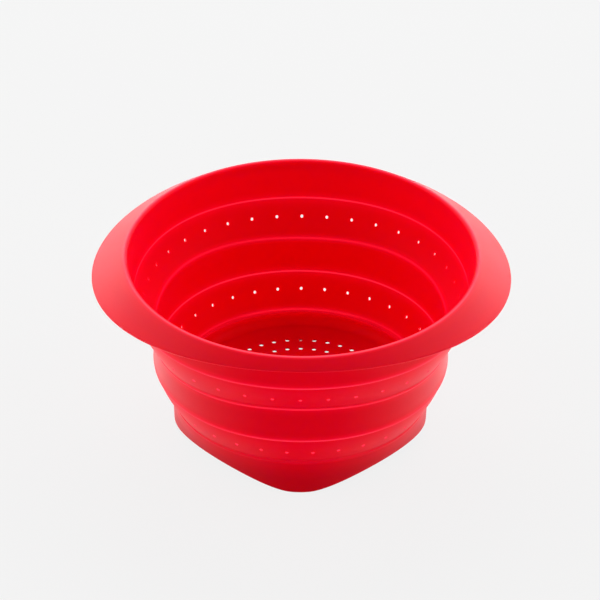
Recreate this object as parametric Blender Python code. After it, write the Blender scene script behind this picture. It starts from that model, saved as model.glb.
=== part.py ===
"""Collapsible colander, pressed in one piece from silicone, standing open on its four feet.

Metres, +Z up. The origin is on the table, on the axis of the bowl. The handles lie along X.
Thick walls and thin folds alternate: when the bowl is pushed flat, each fold turns inside out.
"""

import math

import bmesh
import bpy
from mathutils import Matrix, Vector

# Heights of the zones, one standing on the other
foot_height = 0.0171
floor_thickness = 0.0013
base_wall_height = 0.0090
lower_fold_height = 0.0253
middle_wall_height = 0.0276
upper_fold_height = 0.0253
upper_wall_height = 0.0283

# The opening, and how far each zone narrows towards its foot
opening_radius = 0.1150
upper_wall_draft = 0.0034
upper_fold_step = 0.0133
middle_wall_draft = 0.0009
lower_fold_step = 0.0114
base_wall_draft = 0.0007

# How far each outline bulges between the handles and the front and back, as a share of its radius
upper_wall_foot_share = 0.022
middle_wall_top_share = 0.049
middle_wall_foot_share = 0.018
base_wall_top_share = 0.013

# Thickness of the stiff walls and of the thin folds between them
wall_thickness = 0.0021
fold_thickness = 0.0017
fold_bulge = 0.0015
zone_gap = 0.0003

# The knuckle round the foot of each stiff wall: it swells outwards, then turns in sharply over the fold
knuckle_height = 0.0060
knuckle_depth = 0.0007
knuckle_edge = 0.0006
knuckle_crown_share = 0.25

# The crest and the sloping oval brim, whose wide ends are the handles
crest_radius = 0.0021
crest_depth = 0.0055
brim_thickness = 0.0022
brim_width = 0.0080
handle_reach = 0.0221
brim_slope = math.radians(35.4)
brim_join = 0.0012
crest_arc_points = 4
edge_arc_points = 4

# The floor turns up into the base wall
floor_fillet = 0.0040
fillet_points = 3

# The skirt under the floor: four feet with arches between them
skirt_thickness = 0.0024
skirt_draft = 0.0003
foot_square_share = 0.04
arch_height = 0.0113
arch_power = 1.2
foot_half_angle = math.radians(5)
skirt_edge = 0.0006

# Drain holes
fold_hole_diameter = 0.0020
upper_hole_pitch = 0.0176
lower_hole_pitch = 0.0168
floor_hole_diameter = 0.0032
floor_hole_pitch = 0.0094
floor_row_pitch = 0.0104
floor_margin = 0.0240
cutter_overrun = 0.0020
hole_sides = 6
back_angle = math.radians(90)

ring_steps = 72

# Levels of the lines between the zones, above the table
floor_underside = foot_height
floor_top = floor_underside + floor_thickness
lower_fold_line = floor_top + base_wall_height
middle_wall_line = lower_fold_line + lower_fold_height
upper_fold_line = middle_wall_line + middle_wall_height
upper_wall_line = upper_fold_line + upper_fold_height
crest_level = upper_wall_line + upper_wall_height

# Inside radii at those lines
upper_wall_foot = opening_radius - upper_wall_draft
middle_wall_top = upper_wall_foot - upper_fold_step
middle_wall_foot = middle_wall_top - middle_wall_draft
base_wall_top = middle_wall_foot - lower_fold_step
floor_edge = base_wall_top - base_wall_draft
floor_seat = floor_edge - floor_fillet

# The part of the upper wall's height that the leg of the crest takes
leg_share = crest_depth / upper_wall_height

red_silicone = (0.76, 0.002, 0.013, 1.0)


def clear_scene():
    for existing in list(bpy.data.objects):
        bpy.data.objects.remove(existing, do_unlink=True)


def new_collection(name):
    collection = bpy.data.collections.new(name)
    bpy.context.scene.collection.children.link(collection)
    return collection


def silicone(name, roughness):
    material = bpy.data.materials.new(name)
    material.use_nodes = True
    shader = material.node_tree.nodes["Principled BSDF"]
    shader.inputs["Base Color"].default_value = red_silicone
    shader.inputs["Roughness"].default_value = roughness
    shader.inputs["Metallic"].default_value = 0.0
    material.diffuse_color = red_silicone
    return material


def add_frame(name, parent, level):
    """An empty on the bowl's axis, which carries the pieces of one moving body."""
    frame = bpy.data.objects.new(name, None)
    colander.objects.link(frame)
    frame.parent = parent
    frame.location = (0, 0, level)
    return frame


def add_piece(name, mesh, frame, lift, roughness):
    piece = bpy.data.objects.new(name, mesh)
    colander.objects.link(piece)
    piece.parent = frame
    piece.location = (0, 0, lift)
    mesh.materials.append(silicone(name + "_silicone", roughness))
    return piece


def squared(radius, share, angle):
    """Distance from the axis to an outline that bulges at four corners, by this share of its radius."""
    return radius * (1 + share * math.sin(2 * angle) ** 2)


def loft(name, section_at):
    """Joins closed sections, one for each angle round the axis, into a ring."""
    mesh = bpy.data.meshes.new(name)
    build = bmesh.new()
    rings = []
    for step in range(ring_steps):
        angle = math.tau * step / ring_steps
        across = Vector((math.cos(angle), math.sin(angle), 0))
        points = [across * radius + Vector((0, 0, height)) for radius, height in section_at(angle)]
        rings.append([build.verts.new(point) for point in points])
    for here, after in zip(rings, rings[1:] + rings[:1]):
        for index in range(len(here)):
            following = (index + 1) % len(here)
            build.faces.new((here[index], here[following], after[following], after[index]))
    bmesh.ops.recalc_face_normals(build, faces=build.faces)
    build.to_mesh(mesh)
    build.free()
    mesh.shade_smooth()
    mesh.set_sharp_from_angle(angle=math.radians(40))
    return mesh


def upper_wall_foot_at(angle):
    return squared(upper_wall_foot, upper_wall_foot_share, angle)


def middle_wall_top_at(angle):
    return squared(middle_wall_top, middle_wall_top_share, angle)


def middle_wall_foot_at(angle):
    return squared(middle_wall_foot, middle_wall_foot_share, angle)


def base_wall_top_at(angle):
    return squared(base_wall_top, base_wall_top_share, angle)


def leg_foot_at(angle):
    """Inside of the upper wall where the leg of the crest stands on it."""
    return opening_radius + (upper_wall_foot_at(angle) - opening_radius) * leg_share


def wall_section(foot, top, height):
    """A stiff wall between two fold lines, with a knuckle outside its foot."""
    low = zone_gap / 2
    high = height - zone_gap / 2
    start = min(knuckle_height, height / 2)
    start_radius = foot + (top - foot) * start / height
    return [
        (top + wall_thickness, high),
        (start_radius + wall_thickness, start),
        (foot + wall_thickness + knuckle_depth, start * knuckle_crown_share),
        (foot + wall_thickness + knuckle_depth, low + knuckle_edge),
        (foot + wall_thickness + knuckle_depth - knuckle_edge, low),
        (foot, low),
        (top, high),
    ]


def fold_section(foot, top, height):
    """A thin sloping band that bulges a little, centred in the thickness of the walls that it joins."""
    low = zone_gap / 2
    high = height - zone_gap / 2
    level_thickness = fold_thickness * math.hypot(height, top - foot) / height
    inset = (wall_thickness - level_thickness) / 2
    middle = (foot + top) / 2 + fold_bulge
    return [
        (top + inset + level_thickness, high),
        (middle + inset + level_thickness, height / 2),
        (foot + inset + level_thickness, low),
        (foot + inset, low),
        (middle + inset, height / 2),
        (top + inset, high),
    ]


def base_wall_section(angle):
    """The lowest wall, which turns in at its foot through a fillet to the seat of the floor."""
    high = floor_thickness + base_wall_height - zone_gap / 2
    top = base_wall_top_at(angle)
    fillet = []
    for step in range(fillet_points + 1):
        turned = math.radians(90) * step / fillet_points
        fillet.append(
            (
                floor_seat + floor_fillet * math.sin(turned),
                floor_thickness + floor_fillet * (1 - math.cos(turned)),
            )
        )
    return [
        (top + wall_thickness, high),
        (floor_edge + wall_thickness, 0),
        (floor_seat, 0),
        *fillet,
        (top, high),
    ]


def oval_radius(angle):
    """Outline of the brim seen from above: an ellipse, longest across the handles."""
    long_half = opening_radius + crest_radius + handle_reach
    short_half = opening_radius + crest_radius + brim_width
    return long_half * short_half / math.hypot(short_half * math.cos(angle), long_half * math.sin(angle))


def brim_section(angle):
    """A short leg that stands on the upper wall, the round crest, and the brim sloping to a round edge."""
    along = Vector((math.cos(brim_slope), -math.sin(brim_slope)))
    upward = Vector((math.sin(brim_slope), math.cos(brim_slope)))
    crest_centre = Vector((opening_radius + crest_radius, -crest_radius))
    half = brim_thickness / 2
    middle_start = crest_centre + upward * (crest_radius - half)
    run = (oval_radius(angle) - half - middle_start.x) / along.x
    edge_centre = middle_start + along * run
    under_start = crest_centre + upward * (crest_radius - brim_thickness)
    leg_outside = opening_radius + wall_thickness
    under_run = (leg_outside + brim_join - under_start.x) / along.x
    leg_low = -crest_depth + zone_gap / 2
    leg_inside = leg_foot_at(angle)
    points = [(leg_inside, leg_low)]
    for step in range(crest_arc_points + 1):
        turned = math.pi - (math.pi / 2 + brim_slope) * step / crest_arc_points
        points.append(
            (
                crest_centre.x + crest_radius * math.cos(turned),
                crest_centre.y + crest_radius * math.sin(turned),
            )
        )
    for step in range(edge_arc_points + 1):
        turned = math.pi / 2 - brim_slope - math.pi * step / edge_arc_points
        points.append((edge_centre.x + half * math.cos(turned), edge_centre.y + half * math.sin(turned)))
    points.append(tuple(under_start + along * under_run))
    points.append((leg_outside, (under_start + along * under_run).y - brim_join))
    points.append((leg_inside + wall_thickness, leg_low))
    return points


def skirt_section(angle):
    """The skirt under the base wall, whose lower edge is flat at each foot and rises to an arch between."""
    off_foot = abs((angle + math.pi / 4) % (math.pi / 2) - math.pi / 4)
    rise_share = max(0, off_foot - foot_half_angle) / (math.pi / 4 - foot_half_angle)
    low = arch_height * math.sin(math.pi / 2 * rise_share) ** arch_power
    high = foot_height - zone_gap
    top_outside = floor_edge + wall_thickness

    def outside(level):
        down_share = (foot_height - level) / foot_height
        radius = top_outside - skirt_draft * down_share
        return squared(radius, -foot_square_share * down_share, angle)

    return [
        (outside(high), high),
        (outside(low + skirt_edge), low + skirt_edge),
        (outside(low) - skirt_edge, low),
        (outside(low) - skirt_thickness + skirt_edge, low),
        (outside(low + skirt_edge) - skirt_thickness, low + skirt_edge),
        (outside(high) - skirt_thickness, high),
    ]


def cutter_object(name, build):
    mesh = bpy.data.meshes.new(name)
    build.to_mesh(mesh)
    build.free()
    cutter = bpy.data.objects.new(name, mesh)
    cutters.objects.link(cutter)
    cutter.hide_render = True
    cutter.display_type = "WIRE"
    return cutter


def add_hole(build, diameter, length, placed):
    bmesh.ops.create_cone(
        build,
        cap_ends=True,
        segments=hole_sides,
        radius1=diameter / 2,
        radius2=diameter / 2,
        depth=length,
        matrix=placed,
    )


def fold_holes(name, foot_at, top_at, height, pitch, level):
    """One row of holes round the middle of a fold, square to its slope, the first at the back."""
    build = bmesh.new()
    mean_radius = (foot_at(back_angle) + top_at(back_angle) + wall_thickness) / 2
    count = round(math.tau * mean_radius / pitch)
    for index in range(count):
        angle = back_angle + math.tau * index / count
        foot, top = foot_at(angle), top_at(angle)
        around = Matrix.Rotation(angle, 4, "Z")
        radius = (foot + top + wall_thickness) / 2 + fold_bulge
        out = Matrix.Translation((radius, 0, level + height / 2))
        lie = Matrix.Rotation(math.radians(90) + math.atan2(top - foot, height), 4, "Y")
        add_hole(build, fold_hole_diameter, wall_thickness + 2 * cutter_overrun, around @ out @ lie)
    return cutter_object(name, build)


def floor_holes(name):
    """Rings of holes in the floor, about as far apart along each ring as across the rings."""
    build = bmesh.new()
    length = floor_thickness + 2 * cutter_overrun
    middle = floor_underside + floor_thickness / 2
    radius = floor_edge - floor_margin
    while radius > floor_row_pitch / 2:
        count = max(3, 2 * round(math.pi * radius / floor_hole_pitch))
        for index in range(count):
            around = Matrix.Rotation(back_angle + math.tau * index / count, 4, "Z")
            add_hole(build, floor_hole_diameter, length, around @ Matrix.Translation((radius, 0, middle)))
        radius -= floor_row_pitch
    return cutter_object(name, build)


def cut(piece, cutter):
    boolean = piece.modifiers.new(cutter.name, "BOOLEAN")
    boolean.operation = "DIFFERENCE"
    boolean.solver = "EXACT"
    boolean.object = cutter


clear_scene()
colander = new_collection("collapsible_colander")
cutters = new_collection("cutters")

# The base stands still, the middle slides down round it, and the rim slides down round the middle
base_frame = add_frame("base_frame", None, 0)
middle_frame = add_frame("middle_frame", base_frame, middle_wall_line)
rim_frame = add_frame("rim_frame", middle_frame, upper_wall_line - middle_wall_line)

# Foot skirt
add_piece("foot_skirt", loft("foot_skirt", skirt_section), base_frame, 0, 0.42)

# Drain floor
floor_mesh = bpy.data.meshes.new("drain_floor")
floor_build = bmesh.new()
bmesh.ops.create_cone(
    floor_build,
    cap_ends=True,
    segments=ring_steps,
    radius1=floor_seat - zone_gap,
    radius2=floor_seat - zone_gap,
    depth=floor_thickness,
)
floor_build.to_mesh(floor_mesh)
floor_build.free()
floor = add_piece("drain_floor", floor_mesh, base_frame, floor_underside + floor_thickness / 2, 0.42)
cut(floor, floor_holes("floor_holes"))

# Base wall
add_piece("base_wall", loft("base_wall", base_wall_section), base_frame, floor_underside, 0.42)

# Lower fold
lower_fold_mesh = loft(
    "lower_fold",
    lambda angle: fold_section(base_wall_top_at(angle), middle_wall_foot_at(angle), lower_fold_height),
)
lower_fold = add_piece("lower_fold", lower_fold_mesh, base_frame, lower_fold_line, 0.45)
lower_holes = fold_holes(
    "lower_fold_holes",
    base_wall_top_at,
    middle_wall_foot_at,
    lower_fold_height,
    lower_hole_pitch,
    lower_fold_line,
)
cut(lower_fold, lower_holes)

# Middle wall
middle_wall_mesh = loft(
    "middle_wall",
    lambda angle: wall_section(middle_wall_foot_at(angle), middle_wall_top_at(angle), middle_wall_height),
)
add_piece("middle_wall", middle_wall_mesh, middle_frame, 0, 0.42)

# Upper fold
upper_fold_mesh = loft(
    "upper_fold",
    lambda angle: fold_section(middle_wall_top_at(angle), upper_wall_foot_at(angle), upper_fold_height),
)
upper_fold = add_piece("upper_fold", upper_fold_mesh, middle_frame, middle_wall_height, 0.45)
upper_holes = fold_holes(
    "upper_fold_holes",
    middle_wall_top_at,
    upper_wall_foot_at,
    upper_fold_height,
    upper_hole_pitch,
    upper_fold_line,
)
cut(upper_fold, upper_holes)

# Upper wall, up to the leg of the crest
upper_wall_mesh = loft(
    "upper_wall",
    lambda angle: wall_section(
        upper_wall_foot_at(angle), leg_foot_at(angle), upper_wall_height - crest_depth
    ),
)
add_piece("upper_wall", upper_wall_mesh, rim_frame, 0, 0.42)

# Crest and brim
add_piece("rim_brim", loft("rim_brim", brim_section), rim_frame, upper_wall_height, 0.4)
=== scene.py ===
"""Looks of the collapsible colander: one red silicone moulding, standing open on a pale table.

Metres, +Z up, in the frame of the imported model. Each piece stands for one zone of the moulding and is
built round the axis of the bowl, from the foot up. Neighbouring zones end on the same line, so that
the skin runs on from one to the next.
"""

import math

import bpy
import numpy as np
from mathutils import Matrix, Vector


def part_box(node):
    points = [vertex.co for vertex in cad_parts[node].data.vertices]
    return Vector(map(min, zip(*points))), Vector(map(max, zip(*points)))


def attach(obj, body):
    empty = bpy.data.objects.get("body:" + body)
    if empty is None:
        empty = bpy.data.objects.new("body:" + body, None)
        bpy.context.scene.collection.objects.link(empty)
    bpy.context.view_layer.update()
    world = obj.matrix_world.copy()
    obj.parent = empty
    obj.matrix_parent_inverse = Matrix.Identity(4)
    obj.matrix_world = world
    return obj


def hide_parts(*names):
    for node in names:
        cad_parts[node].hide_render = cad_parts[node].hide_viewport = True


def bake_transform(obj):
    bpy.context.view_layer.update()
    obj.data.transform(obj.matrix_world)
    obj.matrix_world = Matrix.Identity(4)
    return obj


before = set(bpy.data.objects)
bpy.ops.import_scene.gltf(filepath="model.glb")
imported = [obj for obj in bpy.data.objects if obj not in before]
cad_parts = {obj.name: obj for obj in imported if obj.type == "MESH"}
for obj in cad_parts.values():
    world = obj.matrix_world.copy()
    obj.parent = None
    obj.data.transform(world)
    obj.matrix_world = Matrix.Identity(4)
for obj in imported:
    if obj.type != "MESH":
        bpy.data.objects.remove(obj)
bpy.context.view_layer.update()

# Foot skirt. A wavy collar of the same silicone hangs under the floor. Its four low points are the feet,
# and the arches between them let the water out. It is moulded on, with a rounded lower edge.
skirt_thickness = 0.0024
skirt_draft = 0.0003
foot_square_share = 0.04
arch_height = 0.0113
arch_power = 1.2
half_arch = math.radians(45)
foot_half_angle = math.radians(5)
foot_turn = math.radians(3)
skirt_edge_round = 0.0011
skirt_roughness = 0.46
ring_steps = 288
corner_points = 7
row_step = 0.0007
level_slack = 0.00001
merge_decimals = 7
sharp_angle = math.radians(42)
seam_reach = 0.0030
least_spread = 0.03

whole_turn = np.arange(ring_steps) / ring_steps * math.tau


def squared(radius, share, angle):
    """Distance from the axis: the radius times one plus a share of the squared sine of twice the angle."""
    return radius * (1 + share * np.sin(2 * angle) ** 2)


def fold_line(node, top, outside):
    """Radius and corner share of a CAD ring's edge: least squares on 1 and the squared sine of 2·angle."""
    points = np.array([vertex.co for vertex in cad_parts[node].data.vertices])
    level = points[:, 2].max() if top else points[:, 2].min()
    edge = points[np.abs(points[:, 2] - level) < level_slack]
    distance = np.hypot(edge[:, 0], edge[:, 1])
    terms = np.stack([np.ones(len(edge)), np.sin(2 * np.arctan2(edge[:, 1], edge[:, 0])) ** 2], 1)
    middle = terms @ np.linalg.lstsq(terms, distance, rcond=None)[0]
    chosen = distance > middle if outside else distance < middle
    radius, bulge = np.linalg.lstsq(terms[chosen], distance[chosen], rcond=None)[0]
    return radius, bulge / radius


def bent(start, corner, end):
    """A quadratic curve from the start to the end, which leaves and arrives on the lines to the corner."""
    share = np.linspace(0, 1, corner_points)[None, :, None]
    return (1 - share) ** 2 * start + 2 * share * (1 - share) * corner + share**2 * end


def softened(corners, cuts):
    """Rounds a closed section: from a cut before each corner to a cut after it runs a quadratic curve.

    corners has one row for each angle, one column for each corner and (radius, height) in each.
    A cut of zero leaves its corner sharp.
    """
    before = np.roll(corners, 1, axis=1) - corners
    after = np.roll(corners, -1, axis=1) - corners
    columns = []
    for index, cut in enumerate(cuts):
        corner = corners[:, index : index + 1]
        if cut == 0:
            columns.append(corner)
            continue
        back = before[:, index : index + 1]
        on = after[:, index : index + 1]
        start = corner + back * cut / np.linalg.norm(back, axis=2, keepdims=True)
        end = corner + on * cut / np.linalg.norm(on, axis=2, keepdims=True)
        columns.append(bent(start, corner, end))
    return np.concatenate(columns, axis=1)


def filled(section):
    """Adds points to a closed section, so that no run between two of them is longer than the row step."""
    on = np.roll(section, -1, axis=1) - section
    counts = np.ceil(np.linalg.norm(on, axis=2).max(axis=0) / row_step).astype(int)
    start = np.repeat(np.arange(len(counts)), counts)
    part = (np.arange(len(start)) - np.repeat(np.cumsum(counts) - counts, counts)) / counts[start]
    return section[:, start] + on[:, start] * part[:, None]


def grid_faces(rows, columns, wrap_rows, wrap_columns):
    """Corner numbers of the quads of a grid, which may close on itself either way."""
    row = np.arange(rows if wrap_rows else rows - 1)[:, None]
    column = np.arange(columns if wrap_columns else columns - 1)[None, :]
    next_row = (row + 1) % rows
    next_column = (column + 1) % columns
    corners = (
        row * columns + column,
        row * columns + next_column,
        next_row * columns + next_column,
        next_row * columns + column,
    )
    return np.stack(corners, -1).reshape(-1, 4)


def axis_points(angle, radius, height):
    """Points at these angles round the axis of the bowl, distances from it and heights."""
    return np.stack([radius * np.cos(angle), radius * np.sin(angle), height], -1)


def round_the_axis(angle, section):
    """Points of a ring: each (radius, height) of the section is turned to its angle."""
    return axis_points(angle.reshape(-1, 1), section[..., 0], section[..., 1])


def joined(grids):
    """Joins (points, faces, shine) grids into one closed shell: points that fall together become one."""
    points, faces, shines, count = [], [], [], 0
    for grid_points, quads, shine in grids:
        points.append(grid_points.reshape(-1, 3))
        shines.append(np.broadcast_to(shine, grid_points.shape[:-1]).reshape(-1))
        faces.append(quads + count)
        count += len(points[-1])
    rounded = np.round(np.concatenate(points), merge_decimals)
    kept, first, index = np.unique(rounded, axis=0, return_index=True, return_inverse=True)
    return kept, index.reshape(-1)[np.concatenate(faces)], np.concatenate(shines)[first]


def new_piece(name, shells, seams):
    """A mesh of closed shells, each a list of grids, whose faces point outwards.

    Shine is a painted glow, emission that stands for light coming through the silicone. Seams are the
    levels where the next zone goes on: light spreads less there, by the distance to them.
    """
    points, faces, shines, count = [], [], [], 0
    for grids in shells:
        shell_points, shell_faces, shell_shine = joined(grids)
        points.append(shell_points)
        faces.append(shell_faces + count)
        shines.append(shell_shine)
        count += len(shell_points)
    points = np.concatenate(points)
    mesh = bpy.data.meshes.new(name)
    mesh.from_pydata(points.tolist(), [], np.concatenate(faces).tolist())
    distance = np.min([np.abs(points[:, 2] - level) for level in seams], axis=0)
    spread = np.clip(distance / seam_reach, least_spread, 1)
    for label, values in (("shine", np.concatenate(shines)), ("spread", spread)):
        attribute = mesh.attributes.new(label, "FLOAT", "POINT")
        attribute.data.foreach_set("value", values.astype(np.float32))
    mesh.validate()
    mesh.shade_smooth()
    mesh.set_sharp_from_angle(angle=sharp_angle)
    piece = bpy.data.objects.new(name, mesh)
    bpy.context.scene.collection.objects.link(piece)
    return piece


def ring_piece(name, section, seams, angle=whole_turn, shine=0.0):
    """A closed ring whose section runs up its inner side and down its outer side."""
    points = round_the_axis(angle, section)
    faces = grid_faces(len(angle), section.shape[1], True, True)
    return new_piece(name, [[(points, faces, shine)]], seams)


def section_of(*corners):
    """Stacks (radius, height) corners, given as numbers or as one value for each angle, into sections."""
    columns = [np.stack(np.broadcast_arrays(*corner, whole_turn)[:2], -1) for corner in corners]
    return np.stack(columns, 1)


def past_foot(off_foot):
    """Angle past the end of a foot, by a hyperbola that turns smoothly from flat to rising."""
    past = off_foot - foot_half_angle
    return (past + np.hypot(past, foot_turn)) / 2


def skirt_low(angle):
    """Lower edge: nearly flat across each foot, then a powered sine up to the middle of the arch."""
    off_foot = np.abs((angle + half_arch) % (2 * half_arch) - half_arch)
    rise = (past_foot(off_foot) - past_foot(0)) / (past_foot(half_arch) - past_foot(0))
    return arch_height * np.sin(math.pi / 2 * rise) ** arch_power


floor_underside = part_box("base_wall")[0].z
floor_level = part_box("drain_floor")[1].z
base_outside = fold_line("foot_skirt", True, True)[0]


def skirt_outside(height):
    """Outer radius: down from the floor it falls evenly, by the draft and, off the feet, by more."""
    down = (floor_underside - height) / floor_underside
    return squared(base_outside - skirt_draft * down, -foot_square_share * down, whole_turn)


low_edge = skirt_low(whole_turn)
skirt_corners = softened(
    section_of(
        (skirt_outside(low_edge) - skirt_thickness, low_edge),
        (skirt_outside(floor_underside) - skirt_thickness, floor_underside),
        (skirt_outside(floor_underside), floor_underside),
        (skirt_outside(low_edge), low_edge),
    ),
    (skirt_edge_round, 0, 0, skirt_edge_round),
)
skirt = ring_piece("foot_skirt_skin", filled(skirt_corners), [floor_underside])
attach(skirt, "base")
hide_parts("foot_skirt")

silicone_red = (0.94, 0.0, 0.016, 1.0)
sheen_tint = (1.0, 0.87, 1.0, 1.0)
inner_specular = 0.03
outer_specular = 0.13
inside_limit = 0.12
light_depth = 0.0020
light_depth_shares = (1.0, 0.03, 0.03)
# Painted glow: emission colours and strength that paint light through thin silicone and ridge highlights.
glow_deep = (1.0, 0.004, 0.045, 1.0)
glow_pale = (1.0, 0.06, 0.12, 1.0)
deep_shine = 0.6
pale_shine = 2.0
glow_strength = 0.36
# Painted shade: below these heights the colour is darkened towards the table.
shaded_share = 0.84
shaded_level = 0.012
unshaded_level = 0.021
cloudiness = 0.05
cloud_scale = 38.0
cloud_detail = 3.0
grain_scale = 2600.0
grain_detail = 2.0
grain_strength = 0.4
grain_depth = 0.00001


def new_group(name, inputs, outputs):
    """An empty shader node group with these inputs, (name, socket type, default), and outputs."""
    group = bpy.data.node_groups.new(name, "ShaderNodeTree")
    for label, kind, value in inputs:
        socket = group.interface.new_socket(label, in_out="INPUT", socket_type=kind)
        socket.default_value = value
    for label, kind in outputs:
        group.interface.new_socket(label, in_out="OUTPUT", socket_type=kind)
    return group, group.nodes.new("NodeGroupInput"), group.nodes.new("NodeGroupOutput")


def feed(tree, node, inputs):
    """Links each of these inputs of a node to a socket, or sets it to a number or a colour."""
    for label, value in inputs.items():
        if isinstance(value, bpy.types.NodeSocket):
            tree.links.new(value, node.inputs[label])
        else:
            node.inputs[label].default_value = value


def new_node(tree, kind, inputs, **settings):
    """A shader node with these settings and inputs."""
    node = tree.nodes.new(kind)
    for name, value in settings.items():
        setattr(node, name, value)
    feed(tree, node, inputs)
    return node


def worked_out(tree, operation, *values):
    """The result of a Math node on sockets and numbers."""
    return new_node(tree, "ShaderNodeMath", dict(enumerate(values)), operation=operation).outputs[0]


def ramp(tree, value, start, end, low=0.0, high=1.0):
    """A straight ramp of a value, from low at the start to high at the end, and level past them."""
    limits = {"From Min": start, "From Max": end, "To Min": low, "To Max": high}
    return new_node(tree, "ShaderNodeMapRange", {"Value": value, **limits}).outputs["Result"]


def scaled(tree, colour, factor):
    """A colour times a factor, which may be over one."""
    inputs = {0: colour, "Scale": factor}
    return new_node(tree, "ShaderNodeVectorMath", inputs, operation="SCALE").outputs["Vector"]


def noise(tree, place, scale, detail):
    """Soft noise between nought and one."""
    inputs = {"Vector": place, "Scale": scale, "Detail": detail}
    return new_node(tree, "ShaderNodeTexNoise", inputs).outputs["Fac"]


def silicone_skin_group():
    """Skin of a silicone moulding: cloudy colour, uneven gloss and a very fine satin grain.

    Noise round its middle value swings the colour and the gloss by the cloudiness. A ramp of the height
    paints shade into the colour: it is darker close to the table.
    """
    group, given, made = new_group(
        "silicone_skin",
        [
            ("Colour", "NodeSocketColor", silicone_red),
            ("Cloudiness", "NodeSocketFloat", cloudiness),
            ("Gloss", "NodeSocketFloat", skirt_roughness),
            ("Grain Scale", "NodeSocketFloat", grain_scale),
        ],
        [
            ("Colour", "NodeSocketColor"),
            ("Roughness", "NodeSocketFloat"),
            ("Grain", "NodeSocketFloat"),
        ],
    )
    place = group.nodes.new("ShaderNodeTexCoord").outputs["Object"]
    centred = worked_out(group, "SUBTRACT", noise(group, place, cloud_scale, cloud_detail), 0.5)
    swing = worked_out(group, "MULTIPLY", centred, given.outputs["Cloudiness"])
    split = new_node(group, "ShaderNodeSeparateXYZ", {"Vector": place})
    painted_shade = ramp(group, split.outputs["Z"], shaded_level, unshaded_level, shaded_share)
    skin = {
        "Colour": scaled(group, given.outputs["Colour"], worked_out(group, "ADD", swing, painted_shade)),
        "Roughness": worked_out(group, "ADD", swing, given.outputs["Gloss"]),
        "Grain": noise(group, place, given.outputs["Grain Scale"], grain_detail),
    }
    feed(group, made, skin)
    return group


silicone_skin = silicone_skin_group()


def silicone(name, roughness, specular, faint=glow_deep, strong=glow_pale):
    """Red silicone, which light enters a few millimetres deep, with the colour and grain of the skin.

    The shine of the mesh paints a glow on the skin, emission that stands for light coming through the
    silicone and for highlights on its ridges, from the faint colour to the strong one. The spread of the
    mesh says how deep the light goes.
    """
    material = bpy.data.materials.new(name)
    material.use_nodes = True
    material.diffuse_color = silicone_red
    # The glow is too faint to light other things, so it is left out of the sampling of lamps.
    material.cycles.emission_sampling = "NONE"
    tree = material.node_tree
    gloss = {"Colour": silicone_red, "Gloss": roughness}
    skin = new_node(tree, "ShaderNodeGroup", gloss, node_tree=silicone_skin).outputs
    shine = new_node(tree, "ShaderNodeAttribute", {}, attribute_name="shine").outputs["Fac"]
    spread = new_node(tree, "ShaderNodeAttribute", {}, attribute_name="spread").outputs["Fac"]
    # Painted glow: the emission colour, scaled by the shine, is painted light on the skin, not a lamp.
    glow_tones = {0: ramp(tree, shine, deep_shine, pale_shine), 6: faint, 7: strong}
    glow_tone = new_node(tree, "ShaderNodeMix", glow_tones, data_type="RGBA").outputs[2]
    relief = {"Strength": grain_strength, "Distance": grain_depth, "Height": skin["Grain"]}
    looks = {
        "Base Color": skin["Colour"],
        "Roughness": skin["Roughness"],
        "Normal": new_node(tree, "ShaderNodeBump", relief).outputs["Normal"],
        "Specular IOR Level": specular,
        "Specular Tint": sheen_tint,
        "Subsurface Weight": 1.0,
        "Subsurface Radius": light_depth_shares,
        "Subsurface Scale": worked_out(tree, "MULTIPLY", spread, light_depth),
        "Emission Color": scaled(tree, glow_tone, shine),
        "Emission Strength": glow_strength,
    }
    feed(tree, tree.nodes["Principled BSDF"], looks)
    return material


def dress(piece, name, roughness, faint=glow_deep, strong=glow_pale):
    """Silicone for a ring: faces that point at the axis came off a matter mould than the outer ones.

    A face is an outer one where its normal's part away from the axis is at least the inside limit.
    """
    mesh = piece.data
    mesh.materials.append(silicone(name + "_outside", roughness, outer_specular, faint, strong))
    mesh.materials.append(silicone(name + "_inside", roughness, inner_specular, faint, strong))
    centre, normal = np.empty((2, len(mesh.polygons), 3), np.float32)
    mesh.polygons.foreach_get("center", centre.reshape(-1))
    mesh.polygons.foreach_get("normal", normal.reshape(-1))
    outwards = (centre * normal)[:, :2].sum(axis=1) / np.hypot(centre[:, 0], centre[:, 1])
    mesh.polygons.foreach_set("material_index", (outwards < inside_limit).astype(np.int32))


dress(skirt, "skirt", skirt_roughness)

# Drain floor. A flat silicone disc with rings of round holes, moulded with the wall round it. It is made
# here as one closed annulus for each ring of holes, flush with the next, and a plain rim and centre.
hole_edge_round = 0.0002
hole_round_points = 4
floor_hole_diameter = 0.0032
floor_hole_pitch = 0.0094
floor_row_pitch = 0.0104
floor_margin = 0.0240
floor_fillet = 0.0075
floor_roughness = 0.5
wall_thickness = 0.0021
side_steps = (10, 6)
cell_shares = (1, 0.55, 0.25, 0.08, 0)
disc_steps = 48
back_angle = math.radians(90)

floor_thickness = floor_level - floor_underside
floor_edge = base_outside - wall_thickness


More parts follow.
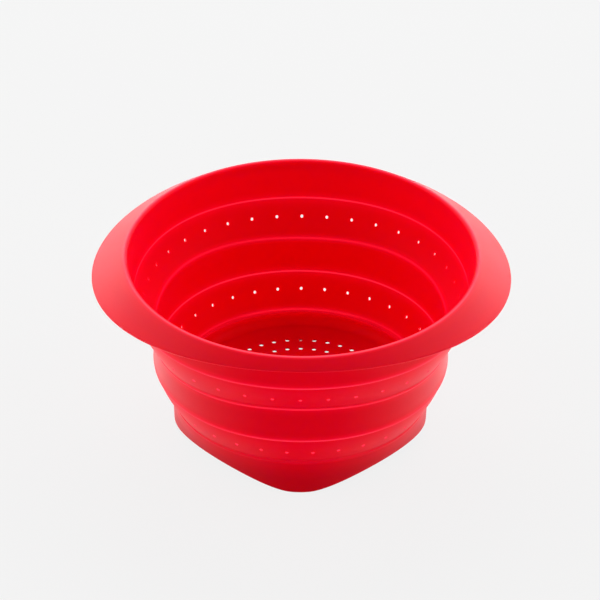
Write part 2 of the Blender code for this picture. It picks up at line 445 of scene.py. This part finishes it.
def holed_ring(count, first_angle, centre, low, high, radius, hole_radius, thickness):
    """One cell for each hole: from the cell's rim in to the hole, through it, and out to the rim below.

    Gives (angle, along, depth) for each hole, each step round the cell and each step through it. At each
    step in, the points are the weighted mean of the cell's rim and of the hole's circle.
    """
    wide, tall = side_steps
    half = math.pi / count
    right = np.linspace(-1, 1, tall, endpoint=False)
    across = np.linspace(1, -1, wide, endpoint=False)
    rim_angle = half * np.concatenate([np.ones(tall), across, -np.ones(tall), -across])
    low_side, high_side = low - centre, high - centre
    middle, reach = (high_side + low_side) / 2, (high_side - low_side) / 2
    rim_along = np.concatenate(
        [middle + reach * right, np.full(wide, high_side), middle - reach * right, np.full(wide, low_side)]
    )
    turn = np.arctan2(rim_along, rim_angle * radius)
    share = np.array(cell_shares)
    curve = np.linspace(0, math.pi / 2, hole_round_points)[1:]
    ring_out = hole_radius + hole_edge_round
    flat_along = share * rim_along[:, None] + (1 - share) * (ring_out * np.sin(turn))[:, None]
    flat_angle = share * rim_angle[:, None] + (1 - share) * (ring_out * np.cos(turn) / radius)[:, None]
    bend = hole_radius + hole_edge_round * (1 - np.sin(curve))
    bend_along = bend * np.sin(turn)[:, None]
    bend_angle = bend * np.cos(turn)[:, None] / radius
    along = np.concatenate([flat_along, bend_along], 1)
    angle = np.concatenate([flat_angle, bend_angle], 1)
    sunk = np.concatenate([np.zeros(len(share)), hole_edge_round * (1 - np.cos(curve))])
    depth = np.broadcast_to(thickness / 2 - sunk, along.shape)
    along = np.concatenate([along, along[:, ::-1]], 1) + centre
    angle = np.concatenate([angle, angle[:, ::-1]], 1)
    depth = np.concatenate([depth, -depth[:, ::-1]], 1)
    holes = first_angle + np.arange(count) * math.tau / count
    angle = holes[:, None, None] + angle
    return angle, np.broadcast_to(along, angle.shape), np.broadcast_to(depth, angle.shape)


def cell_grids(points, through_shine=0.0):
    """A grid of quads for each hole's cell, closed round the cell."""
    around, through = points.shape[1:3]
    faces = grid_faces(around, through, True, False)
    starts = np.arange(len(points))[:, None, None] * around * through
    return points, (faces[None] + starts).reshape(-1, 4), through_shine


def ring_angles(count, first_angle):
    """The angles at which the cells of a ring of holes meet their neighbours above and below."""
    wide = side_steps[0]
    return first_angle - math.pi / count + np.arange(count * wide) / (count * wide) * math.tau


def even_ring(angle, corners):
    """Points of a ring whose section, a list of (radius, height) corners, is the same at each angle."""
    return round_the_axis(angle, np.broadcast_to(corners, (len(angle), len(corners), 2)))


def washer(angle, inner, outer):
    """A closed flat ring of the floor's thickness."""
    low, high = floor_underside, floor_level
    corners = [(inner, low), (inner, high), (outer, high), (outer, low)]
    return even_ring(angle, corners), grid_faces(len(angle), 4, True, True), 0.0


def side_wall(angle, radius, step):
    """A plain cylinder through the floor, which closes a ring of cells: step 1 inside and -1 outside."""
    corners = [(radius, floor_underside), (radius, floor_level)][::step]
    return even_ring(angle, corners), grid_faces(len(angle), 2, True, False), 0.0


def centre_disc(radius):
    """The plain middle of the floor: a short cylinder whose ends are filled by strips between its sides."""
    angle = (np.arange(disc_steps) + 0.5) / disc_steps * math.tau
    points = even_ring(angle, [(radius, floor_underside), (radius, floor_level)])
    near = np.arange(disc_steps // 2 - 1)
    far = disc_steps - 1 - near
    top = 2 * np.stack([near, near + 1, far - 1, far], -1) + 1
    bottom = 2 * np.stack([far, far - 1, near + 1, near], -1)
    sides = grid_faces(disc_steps, 2, True, False)[:, ::-1]
    return points, np.concatenate([sides, top, bottom]), 0.0


row_radius = floor_edge - floor_margin
floor_shells = [[washer(whole_turn, row_radius + floor_row_pitch / 2, floor_edge - floor_fillet)]]
while row_radius > floor_row_pitch / 2:
    row_low, row_high = row_radius - floor_row_pitch / 2, row_radius + floor_row_pitch / 2
    row_count = 2 * round(math.pi * row_radius / floor_hole_pitch)
    angle, along, depth = holed_ring(
        row_count,
        back_angle,
        row_radius,
        row_low,
        row_high,
        row_radius,
        floor_hole_diameter / 2,
        floor_thickness,
    )
    cells = axis_points(angle, along, floor_underside + floor_thickness / 2 + depth)
    around = ring_angles(row_count, back_angle)
    floor_shells.append([cell_grids(cells), side_wall(around, row_low, 1), side_wall(around, row_high, -1)])
    row_radius -= floor_row_pitch
floor_shells.append([centre_disc(row_low)])
floor_piece = new_piece("drain_floor_skin", floor_shells, [floor_level - floor_thickness / 2])
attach(floor_piece, "base")
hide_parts("drain_floor")
floor_piece.data.materials.append(silicone("floor_inside", floor_roughness, inner_specular))

# Base wall. The lowest stiff wall, of thick silicone moulded in one with the floor, to which it turns in
# through a wide fillet. Outside it runs on into the skirt. Its top is a rounded shoulder inside and a
# fine raised line outside.
fillet_points = 13
ridge_height = 0.00035
ridge_level = 0.0007
ridge_round = 0.0005
ridge_foot_round = 0.0004
shoulder_drop = 0.0018
shoulder_depth = 0.0004
shoulder_round = 0.0016
# Painted glow along the inner shoulder and the outer ridge of a wall's top.
shoulder_light = 0.5
shoulder_haze = 0.0024
fine_glow_width = 0.0009
soft_light = 0.45
soft_haze = 0.0016
wall_roughness = 0.44

lower_fold_line = (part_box("base_wall")[1].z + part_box("lower_fold")[0].z) / 2
base_inside, base_inside_share = fold_line("base_wall", True, False)


def shoulder(inner, outer, high):
    """Top end of a stiff wall: a rounded shoulder inside and a fine ridge outside, as corners and cuts."""
    corners = [
        (inner(high - shoulder_drop) - shoulder_depth, high - shoulder_drop),
        (inner(high), high),
        (outer(high), high),
        (outer(high) + ridge_height, high - ridge_level),
        (outer(high - 2 * ridge_level), high - 2 * ridge_level),
    ]
    return corners, [shoulder_round, 0, 0, ridge_round, ridge_foot_round]


def glow(distance, width):
    """A bell curve of the distance from a ridge: one on its crown and about a third at its width."""
    return np.exp(-((distance / width) ** 2))


def ridge_glow(distance):
    """Faint painted glow at the ridge of the base wall, where the silicone is thicker than in a fold."""
    return soft_light * glow(distance, soft_haze)


def shoulder_shine(height, inside, high, ridge_light):
    """Painted glow: a fine line in a broad one on the inner shoulder, and the light of the outer ridge at
    its level.
    """
    above = height - high
    inner_line = shoulder_light * glow(above, shoulder_haze) + shoulder_light * glow(above, fine_glow_width)
    return np.where(inside, inner_line, ridge_light(above + ridge_level))


def base_inner(height):
    """Inner radius of the base wall: the same at every height."""
    return squared(base_inside, base_inside_share, whole_turn)


def base_outer(height):
    """Outer radius of the base wall: the wall's thickness further out."""
    return base_inner(height) + wall_thickness


quarter = np.linspace(0, math.pi / 2, fillet_points)
floor_seat = floor_edge - floor_fillet
shoulder_corners, shoulder_cuts = shoulder(base_inner, base_outer, lower_fold_line)
base_corners = [(floor_seat, floor_underside)]
base_corners += [
    (floor_seat + floor_fillet * math.sin(part), floor_level + floor_fillet * (1 - math.cos(part)))
    for part in quarter
]
base_corners += shoulder_corners + [(base_outside, floor_underside)]
base_cuts = [0] * (fillet_points + 1) + shoulder_cuts + [0]
base_section = filled(softened(section_of(*base_corners), base_cuts))
base_middle = (base_outside + base_inside) / 2
base_inner_face = base_section[..., 0] < base_middle
base_shine = shoulder_shine(base_section[..., 1], base_inner_face, lower_fold_line, ridge_glow)
base_seams = [floor_underside, lower_fold_line]
base_wall = ring_piece("base_wall_skin", base_section, base_seams, shine=base_shine)
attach(base_wall, "base")
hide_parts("base_wall")
dress(base_wall, "base_wall", wall_roughness)

# Lower fold. A thin band of silicone that turns inside out when the bowl is pushed flat. One row of small
# drain holes runs round its middle, moulded through it.
fold_thickness = 0.0017
fold_bulge = 0.0015
fold_hole_diameter = 0.0020
fold_round_share = 0.12
thickening_share = 0.16
lower_hole_count = 35
cell_share = 0.42
fold_rows = 24
# Painted glow of the folds: an even one on the band, a light rim in each hole and bright fold lines.
band_shine = 0.25
hole_shine = 2.8
fold_foot_light = 0.5
fold_foot_haze = 0.0018
hinge_light = 1.1
hinge_line_width = 0.0008
hinge_haze_light = 0.33
hinge_haze = 0.0035
fold_roughness = 0.48

middle_wall_line = (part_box("lower_fold")[1].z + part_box("middle_wall")[0].z) / 2
middle_foot = fold_line("middle_wall", False, False)


def hinge_glow(distance):
    """Painted glow for light through the thin silicone of a fold line: a fine bright line in a faint broad
    one.
    """
    return hinge_light * glow(distance, hinge_line_width) + hinge_haze_light * glow(distance, hinge_haze)


def fold_piece(name, foot, top, low, high, count):
    """A thin band between two fold lines, with a row of holes through it.

    Its middle surface leaves the foot upright, then slopes evenly, and bulges by a parabola: the bulge
    times four times the share times one minus the share. Depth is measured square to it, but level at
    the ends, where the walls go on, and grows to the walls' thickness at the foot.
    """
    tall = high - low

    def lean(share):
        """Share of the step made at a height: a square up to the round share, then a straight line."""
        start = share**2 / (2 * fold_round_share)
        straight = share - fold_round_share / 2
        return np.where(share < fold_round_share, start, straight) / (1 - fold_round_share / 2)

    def place(angle, along, depth):
        """Points of the band: its middle surface, moved by the depth along the normal of its section."""
        share = along / tall
        foot_at = squared(foot[0], foot[1], angle) + wall_thickness / 2
        step = squared(top[0], top[1], angle) + wall_thickness / 2 - foot_at
        radius = foot_at + step * lean(share) + fold_bulge * 4 * share * (1 - share)
        rise = np.clip(share / fold_round_share, 0, 1) / (1 - fold_round_share / 2)
        off_end = np.clip(np.minimum(share, 1 - share) / fold_round_share, 0, 1)
        slope = off_end * (step * rise + fold_bulge * 4 * (1 - 2 * share)) / tall
        steep = np.sqrt(1 + slope**2)
        near = np.clip(1 - share / thickening_share, 0, 1)
        thick = depth * (1 + (wall_thickness / fold_thickness - 1) * near**2 * (3 - 2 * near))
        return axis_points(angle, radius + thick / steep, low + along - thick * slope / steep)

    def shine(along, depth):
        """Painted glow: broad inside the foot and fine inside the top, and even outside, where the band is
        thinnest.
        """
        foot_haze = fold_foot_light * glow(along, fold_foot_haze)
        foot_line = foot_haze + fold_foot_light * glow(along, fine_glow_width)
        return np.where(depth < 0, foot_line + hinge_glow(along - tall), band_shine)

    cell_low, cell_high = tall * (1 - cell_share) / 2, tall * (1 + cell_share) / 2
    radius = (foot[0] + top[0] + wall_thickness) / 2 + fold_bulge
    cells = holed_ring(
        count, back_angle, tall / 2, cell_low, cell_high, radius, fold_hole_diameter / 2, fold_thickness
    )
    angle, along, depth = (part[..., ::-1] for part in cells)
    # Painted highlight: a light glow on the outer half of each hole's wall.
    through = np.clip((fold_thickness / 2 - np.abs(depth)) / hole_edge_round, 0, 1)
    cell_shine = np.where(depth > 0, band_shine + (hole_shine - band_shine) * through, 0)
    grids = [cell_grids(place(angle, along, depth), cell_shine)]
    around = ring_angles(count, back_angle)[:, None]
    for near, far, step in ((cell_low, 0, 1), (cell_high, tall, -1)):
        out = np.linspace(near, far, fold_rows)
        along = np.concatenate([out, out[::-1]])[None, ::step]
        depth = np.repeat([fold_thickness / 2, -fold_thickness / 2], fold_rows)[None, ::step]
        faces = grid_faces(len(around), 2 * fold_rows, True, False)
        grids.append((place(around, along, depth), faces, shine(along, depth)))
    return new_piece(name, [grids], [low, high])


lower_fold = fold_piece(
    "lower_fold_skin",
    (base_inside, base_inside_share),
    middle_foot,
    lower_fold_line,
    middle_wall_line,
    lower_hole_count,
)
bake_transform(lower_fold)
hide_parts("lower_fold")
dress(lower_fold, "lower_fold", fold_roughness)

# Middle wall. The second stiff wall, of thick silicone moulded between the two folds. Outside its foot a
# rounded knuckle swells over the fold below it, with a painted glow on it, and a fine painted bright line
# runs inside. Its top has the same shoulder and ridge as the base wall.
knuckle_depth = 0.0006
knuckle_start = 0.0060
knuckle_level = 0.0015
knuckle_foot_level = 0.0003
knuckle_start_round = 0.0022
knuckle_round = 0.0009
knuckle_foot_round = 0.0003
# Painted glow on the knuckle: a broad light and a fine bright line near its foot.
knuckle_light = 0.9
knuckle_haze = 0.0026
knuckle_line_level = 0.0005

upper_fold_line = (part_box("middle_wall")[1].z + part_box("upper_fold")[0].z) / 2
middle_top = fold_line("middle_wall", True, False)


def wall_piece(name, foot, top, low, high, shouldered):
    """A stiff wall between two levels: a knuckle at its foot, and a shoulder or a plain top.

    Its inner side is a straight line from the foot's radius to the top's, at each angle.
    """
    foot_at = squared(foot[0], foot[1], whole_turn)
    top_at = squared(top[0], top[1], whole_turn)
    lean = (top_at - foot_at) / (high - low)

    def inner(height):
        """Inner radius at a height."""
        return foot_at + lean * (height - low)

    def outer(height):
        """Outer radius at a height, leaving out the knuckle."""
        return inner(height) + wall_thickness

    inset = (wall_thickness - fold_thickness) / 2
    corners = [(inner(low) + inset, low), (inner(low + 2 * inset), low + 2 * inset)]
    cuts = [0, 0]
    if shouldered:
        top_corners, top_cuts = shoulder(inner, outer, high)
        corners += top_corners
        cuts += top_cuts
    else:
        corners += [(inner(high), high), (outer(high), high)]
        cuts += [0, 0]
    corners += [
        (outer(low + knuckle_start), low + knuckle_start),
        (outer(low) + knuckle_depth, low + knuckle_level),
        (outer(low) + knuckle_depth, low + knuckle_foot_level),
        (outer(low) - inset, low),
    ]
    cuts += [knuckle_start_round, knuckle_round, knuckle_foot_round, 0]
    section = filled(softened(section_of(*corners), cuts))
    height = section[..., 1]
    inside = section[..., 0] < (inner(low) + wall_thickness / 2)[:, None] + lean[:, None] * (height - low)
    # Painted glow: on the knuckle outside, along the fold line inside, and on the shoulder.
    foot_line = knuckle_light * glow(height - low - knuckle_line_level, fine_glow_width)
    knuckle_shine = knuckle_light * glow(height - low, knuckle_haze) + foot_line
    shine = np.where(inside, hinge_glow(height - low), knuckle_shine)
    if shouldered:
        shine = shine + shoulder_shine(height, inside, high, hinge_glow)
    return ring_piece(name, section, [low, high], shine=shine)


middle_wall = wall_piece(
    "middle_wall_skin", middle_foot, middle_top, middle_wall_line, upper_fold_line, True
)
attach(middle_wall, "middle")
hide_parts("middle_wall")
dress(middle_wall, "middle_wall", wall_roughness)

# Upper fold. The second and wider thin band of silicone that turns inside out, moulded between the middle
# wall and the upper one, with its own row of drain holes.
upper_hole_count = 38

upper_wall_line = (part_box("upper_fold")[1].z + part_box("upper_wall")[0].z) / 2
upper_foot = fold_line("upper_wall", False, False)
upper_fold = fold_piece(
    "upper_fold_skin", middle_top, upper_foot, upper_fold_line, upper_wall_line, upper_hole_count
)
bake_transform(upper_fold)
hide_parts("upper_fold")
dress(upper_fold, "upper_fold", fold_roughness)

# Upper wall. The stiff wall under the opening, of thick silicone, moulded with a knuckle at its foot. Its
# plain top runs on into the leg of the crest.
zone_gap = 0.0003

upper_wall_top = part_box("upper_wall")[1].z + zone_gap / 2
upper_top = fold_line("upper_wall", True, False)
upper_wall = wall_piece("upper_wall_skin", upper_foot, upper_top, upper_wall_line, upper_wall_top, False)
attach(upper_wall, "rim")
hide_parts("upper_wall")
dress(upper_wall, "upper_wall", wall_roughness)

# Crest and brim. The silicone wall rolls over a round crest into a brim that slopes down all round, in the
# same moulding. Its outline is an oval, so that it widens into a handle on each side, and its edge is
# fully rounded.
crest_radius = 0.0021
opening_radius = 0.1150
brim_thickness = 0.0022
brim_slope = math.radians(35.4)
brim_join_out = 0.0012
brim_join_drop = 0.0016
brim_join_rise = 0.0008
crest_points = 13
edge_points = 13
brim_rows = 20
brim_steps = 576
# Painted highlights: a pale pink glow along the crest and a red one along the brim's rounded edge.
crest_light = 1.3
crest_haze = 0.0013
crest_glow = (1.0, 0.29, 0.38, 1.0)
edge_light = 0.5
edge_haze = 0.0008
edge_glow = (1.0, 0.04, 0.10, 1.0)
rim_roughness = 0.42

brim_angle = np.arange(brim_steps) / brim_steps * math.tau
crest_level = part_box("rim_brim")[1].z
long_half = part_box("rim_brim")[1].x
short_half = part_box("rim_brim")[1].y


def brim_section(angle):
    """The inside leg, the crest as a circular arc, the brim as straight lines and its edge as an arc.

    The brim runs out to an oval: one over the root of the sum of the squares of the cosine over the long
    half and the sine over the short half. Under it a quadratic curve leads back to the wall.
    """
    along = np.array([math.cos(brim_slope), -math.sin(brim_slope)])
    upward = np.array([math.sin(brim_slope), math.cos(brim_slope)])
    centre = np.array([opening_radius + crest_radius, crest_level - crest_radius])
    half = brim_thickness / 2
    oval = long_half * short_half / np.hypot(short_half * np.cos(angle), long_half * np.sin(angle))
    middle_start = centre + upward * (crest_radius - half)
    run = (oval - half - middle_start[0]) / along[0]
    edge_centre = middle_start + along * run[:, None]
    rows = len(angle)
    leg = squared(upper_top[0], upper_top[1], angle)
    turned = np.linspace(math.pi, math.pi / 2 - brim_slope, crest_points)
    crest = centre + crest_radius * np.stack([np.cos(turned), np.sin(turned)], -1)
    crest = np.broadcast_to(crest, (rows, crest_points, 2))
    top_start = centre + upward * crest_radius
    share = np.linspace(0, 1, brim_rows + 1)[1:-1, None]
    top = top_start + along * run[:, None, None] * share
    turned = math.pi / 2 - brim_slope - np.linspace(0, math.pi, edge_points)
    edge = edge_centre[:, None] + half * np.stack([np.cos(turned), np.sin(turned)], -1)
    under_start = centre + upward * (crest_radius - brim_thickness)
    wall_outside = opening_radius + wall_thickness
    join = under_start + along * ((wall_outside + brim_join_out - under_start[0]) / along[0])
    under = join + (edge[:, -1] - join)[:, None] * (1 - share)
    knee = np.array([wall_outside, join[1] + brim_join_rise])
    fillet = bent(join, knee, np.array([wall_outside, join[1] - brim_join_drop]))
    fillet = np.broadcast_to(fillet, (rows, corner_points, 2))
    leg_low = np.stack([leg, np.full(rows, upper_wall_top)], -1)[:, None]
    leg_out = np.stack([leg + wall_thickness, np.full(rows, upper_wall_top)], -1)[:, None]
    return np.concatenate([leg_low, crest, top, edge, under, fillet, leg_out], 1)


rim_section = brim_section(brim_angle)
# Painted highlights on the crest and on the brim's edge, as glow by the distance from each.
off_crest = rim_section - [opening_radius + crest_radius, crest_level]
crest_shine = crest_light * glow(np.hypot(off_crest[..., 0], off_crest[..., 1]), crest_haze)
edge_foot = crest_points + brim_rows + edge_points // 2 + 1
off_edge = rim_section - rim_section[:, edge_foot : edge_foot + 1]
edge_shine = edge_light * glow(np.hypot(off_edge[..., 0], off_edge[..., 1]), edge_haze)
rim = ring_piece("rim_brim_skin", rim_section, [upper_wall_top], brim_angle, crest_shine + edge_shine)
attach(rim, "rim")
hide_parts("rim_brim")
dress(rim, "rim", rim_roughness, edge_glow, crest_glow)

# Table and studio. A pale table under a bright, even room. The camera stands where the photograph was
# taken from, a little over a metre and a half away, looking down at the front.
table_half = 4.0
table_glow = 0.912
table_paint = 0.8
table_own_share = 0.93
table_mirrored = 2.5
table_dark = -0.10
table_bright = 0.26
table_near = 0.10
table_far = 0.35
table_far_share = 0.88

table_mesh = bpy.data.meshes.new("table_top")
table_corners = [(-table_half, -table_half, 0), (table_half, -table_half, 0)]
table_corners += [(table_half, table_half, 0), (-table_half, table_half, 0)]
table_mesh.from_pydata(table_corners, [], [(0, 1, 2, 3)])
table = bpy.data.objects.new("table_top", table_mesh)
bpy.context.scene.collection.objects.link(table)


def axes_of(tree, output):
    """The X, Y and Z of a texture coordinate."""
    place = tree.nodes.new("ShaderNodeTexCoord").outputs[output]
    return new_node(tree, "ShaderNodeSeparateXYZ", {"Vector": place}).outputs


def seen_or_lit(tree, path, seen, lit):
    """The seen value where the camera looks straight at it, and the lit one wherever its light goes."""
    inputs = {"Factor": path["Is Camera Ray"], "A": lit, "B": seen}
    return new_node(tree, "ShaderNodeMix", inputs).outputs["Result"]


def table_material():
    """Pale matte table: the camera sees mostly its own even light, with a little of the object's shadow.

    In the object's sheen that light is a ramp of the distance aside plus the distance back, so that it
    shows from the back and sides, and it is a little weaker far back.
    """
    material = bpy.data.materials.new("table_paint")
    material.use_nodes = True
    # Its light is only for the camera and the sheen, so it is left out of the sampling of lamps.
    material.cycles.emission_sampling = "NONE"
    tree = material.node_tree
    tree.nodes.remove(tree.nodes["Principled BSDF"])
    path = tree.nodes.new("ShaderNodeLightPath").outputs
    axes = axes_of(tree, "Object")
    off_front = worked_out(tree, "ADD", worked_out(tree, "ABSOLUTE", axes["X"]), axes["Y"])
    mirrored = ramp(tree, off_front, table_dark, table_bright, 0.0, table_mirrored)
    far = ramp(tree, axes["Y"], table_near, table_far, 1.0, table_far_share)
    lit = worked_out(tree, "MULTIPLY", mirrored, far)
    grey = (table_paint, table_paint, table_paint, 1.0)
    paint = new_node(tree, "ShaderNodeBsdfDiffuse", {"Color": grey})
    pale = (table_glow, table_glow, table_glow, 1.0)
    own = {"Color": pale, "Strength": seen_or_lit(tree, path, 1.0, lit)}
    own_light = new_node(tree, "ShaderNodeEmission", own)
    seen = worked_out(tree, "MAXIMUM", path["Is Camera Ray"], path["Is Glossy Ray"])
    share = worked_out(tree, "MULTIPLY", seen, table_own_share)
    both = {"Fac": share, 1: paint.outputs["BSDF"], 2: own_light.outputs["Emission"]}
    mix = new_node(tree, "ShaderNodeMixShader", both)
    tree.links.new(mix.outputs["Shader"], tree.nodes["Material Output"].inputs["Surface"])
    return material


table_mesh.materials.append(table_material())

background = 0.896
room_front = 0.92
room_back = 0.90
room_front_limit = -0.8
room_back_limit = 0.6
room_sides = 1.42
room_side_start = 0.2
room_side_end = 0.9
room_top_share = 0.10
room_low_limit = 0.05
room_high_limit = 0.45


def studio_world():
    """A room that is brightest low at the sides and dimmest overhead, and plain pale to the camera.

    Its light is a ramp from front to back plus one to the sides, times one from the table's level up.
    """
    world = bpy.data.worlds.new("studio")
    world.use_nodes = True
    tree = world.node_tree
    axes = axes_of(tree, "Generated")
    back = ramp(tree, axes["Y"], room_front_limit, room_back_limit, room_front, room_back)
    aside = worked_out(tree, "ABSOLUTE", axes["X"])
    sides = ramp(tree, aside, room_side_start, room_side_end, 0.0, room_sides)
    above = ramp(tree, axes["Z"], room_low_limit, room_high_limit, 1.0, room_top_share)
    lit = worked_out(tree, "MULTIPLY", worked_out(tree, "ADD", back, sides), above)
    path = tree.nodes.new("ShaderNodeLightPath").outputs
    sky = {"Color": (1.0, 1.0, 1.0, 1.0), "Strength": seen_or_lit(tree, path, background, lit)}
    feed(tree, tree.nodes["Background"], sky)
    return world


bpy.context.scene.world = studio_world()

lamp_aim = (0, 0, 0.08)
back_softbox_place = (0, 1.0, 1.2)
back_softbox_size = (1.4, 0.8)
back_softbox_power = 15
side_softbox_place = (1.15, 0.18, 1.05)
side_softbox_size = (1.1, 0.9)
side_softbox_power = 7.0
back_strip_place = (0.95, 1.2, 0.55)
back_strip_aim = (0.1, 0, 0.1)
back_strip_size = (1.3, 0.8)
back_strip_power = 13


def soft_lamp(name, place, aim, size, power, side=1, only_sheen=False):
    """A rectangular soft lamp at a place, turned to its aim. Side -1 mirrors both to the left.

    One for the sheen alone shows in glossy skin and gives no diffuse light.
    """
    lamp = bpy.data.lights.new(name, "AREA")
    lamp.shape = "RECTANGLE"
    lamp.size, lamp.size_y = size
    lamp.energy = power
    mirror = Matrix.Diagonal((side, 1, 1))
    stand = bpy.data.objects.new(name, lamp)
    stand.location = mirror @ Vector(place)
    towards = mirror @ (Vector(aim) - Vector(place))
    stand.rotation_euler = towards.to_track_quat("-Z", "Y").to_euler()
    stand.visible_diffuse = not only_sheen
    bpy.context.scene.collection.objects.link(stand)


soft_lamp("back_softbox", back_softbox_place, lamp_aim, back_softbox_size, back_softbox_power)
for side, side_name in ((-1, "left"), (1, "right")):
    soft_lamp(
        side_name + "_softbox", side_softbox_place, lamp_aim, side_softbox_size, side_softbox_power, side
    )
    soft_lamp(
        side_name + "_back_strip",
        back_strip_place,
        back_strip_aim,
        back_strip_size,
        back_strip_power,
        side,
        only_sheen=True,
    )

camera_elevation = math.radians(34.87)
camera_distance = 1.6083
camera_roll = math.radians(0.50)
camera_aside = -0.0008
camera_below_crest = 0.03868
focal_share = 4.0

look = Vector((0, math.cos(camera_elevation), -math.sin(camera_elevation)))
level_right = Vector((1, 0, 0))
level_up = level_right.cross(look)
right = level_right * math.cos(camera_roll) + level_up * math.sin(camera_roll)
up = level_up * math.cos(camera_roll) - level_right * math.sin(camera_roll)
lens = bpy.data.cameras.new("camera")
lens.sensor_width = 36.0
lens.sensor_fit = "HORIZONTAL"
lens.lens = lens.sensor_width * focal_share
lens.clip_end = 50.0
camera = bpy.data.objects.new("camera", lens)
target = Vector((camera_aside, 0, crest_level - camera_below_crest))
turn = Matrix((right, up, -look)).transposed()
camera.matrix_world = Matrix.Translation(target - look * camera_distance) @ turn.to_4x4()
bpy.context.scene.collection.objects.link(camera)
bpy.context.scene.camera = camera

bpy.context.scene.view_settings.view_transform = "Standard"
